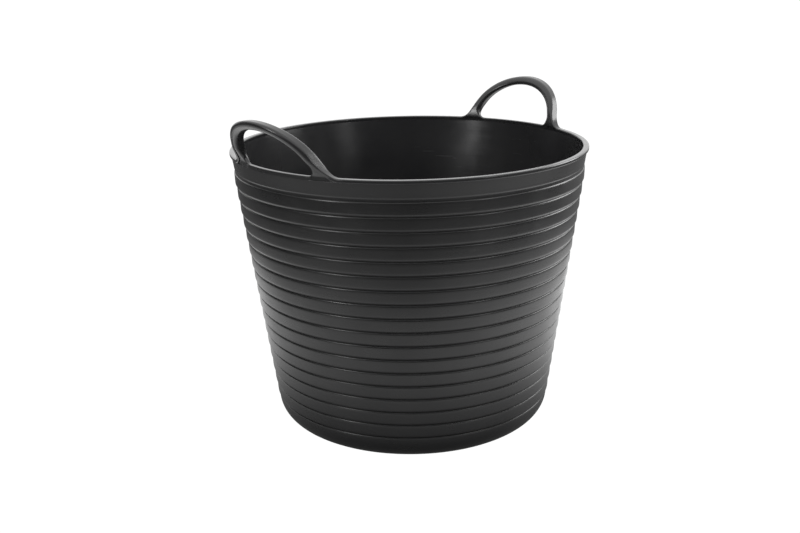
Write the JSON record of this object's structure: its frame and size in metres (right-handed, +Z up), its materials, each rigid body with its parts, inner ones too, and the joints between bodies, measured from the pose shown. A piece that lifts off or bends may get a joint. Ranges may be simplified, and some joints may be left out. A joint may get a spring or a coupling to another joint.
{
  "type": "florist bucket",
  "caption": "Round, tapered flexible tub in black rubbery plastic, with stepped bands on the wall, a rolled lip and opposite loop handles that bend at their feet.",
  "frame": {"origin": "centre of the base, on the surface the tub stands on", "axes": "+Z up through the mouth; the handles are at -X (left) and +X (right); -Y is the front"},
  "size_m": [0.5052, 0.45, 0.4149],
  "materials": {
    "black_polyethylene": "satin black low-density polyethylene, moulded, with fine scratches and light scuffs"
  },
  "bodies": {
    "tub": {"floor_panel": "black_polyethylene", "foot_ring": "black_polyethylene", "ribbed_wall": "black_polyethylene", "rim_collar": "black_polyethylene", "rim_lip": "black_polyethylene", "left_handle_front_foot": "black_polyethylene", "left_handle_rear_foot": "black_polyethylene", "right_handle_front_foot": "black_polyethylene", "right_handle_rear_foot": "black_polyethylene"},
    "left_handle": {"left_handle": "black_polyethylene"},
    "right_handle": {"right_handle": "black_polyethylene"}
  },
  "joints": [
    {"name": "left_handle_bend", "type": "hinge", "parent": "tub", "child": "left_handle", "pos_m": [-0.21832, 0, 0.3705], "axis": [0, 1, 0], "range_deg": [-20, 60], "stiffness_Nm_per_rad": 0.8},
    {"name": "right_handle_bend", "type": "hinge", "parent": "tub", "child": "right_handle", "pos_m": [0.21832, 0, 0.3705], "axis": [0, -1, 0], "range_deg": [-20, 60], "stiffness_Nm_per_rad": 0.8}
  ]
}
